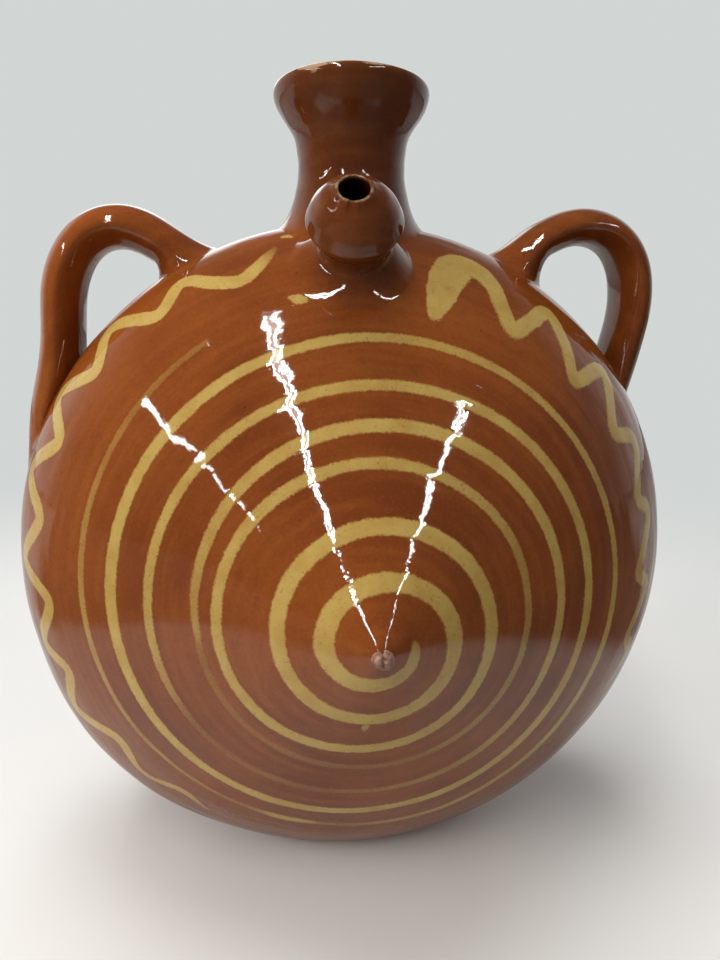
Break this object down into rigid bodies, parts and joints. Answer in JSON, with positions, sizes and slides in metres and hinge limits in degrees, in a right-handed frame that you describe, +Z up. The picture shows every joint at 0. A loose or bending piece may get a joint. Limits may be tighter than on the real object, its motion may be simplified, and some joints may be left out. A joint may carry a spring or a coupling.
{
  "type": "spanish botijo",
  "caption": "Glazed earthenware drinking jug: round cone-fronted belly on edge, flared filling neck, bulb-shaped spout, side handles and slip-trailed spiral.",
  "frame": {"origin": "on the floor, under the widest ring of the belly, at the middle of its width", "axes": "+X to the right as the cone is looked at, -Y the way the cone points, +Z up"},
  "size_m": [0.168, 0.1047, 0.1951],
  "materials": {
    "glaze": "glossy honey-brown lead glaze over red earthenware",
    "slip": "glossy mustard-yellow slip under the clear glaze",
    "bare_clay": "matt pinkish bare clay"
  },
  "bodies": {
    "root": {"belly_front": "glaze", "belly_back": "glaze", "belly_floor": "glaze", "tip_nub": "bare_clay", "neck": "glaze", "neck_collar": "glaze", "spout": "glaze", "spout_collar": "glaze", "left_handle": "glaze", "left_handle_roots": "glaze", "right_handle": "glaze", "right_handle_roots": "glaze", "slip_spiral": "slip", "slip_wave_left": "slip", "slip_wave_right": "slip", "slip_drops": "slip"}
  },
  "joints": []
}
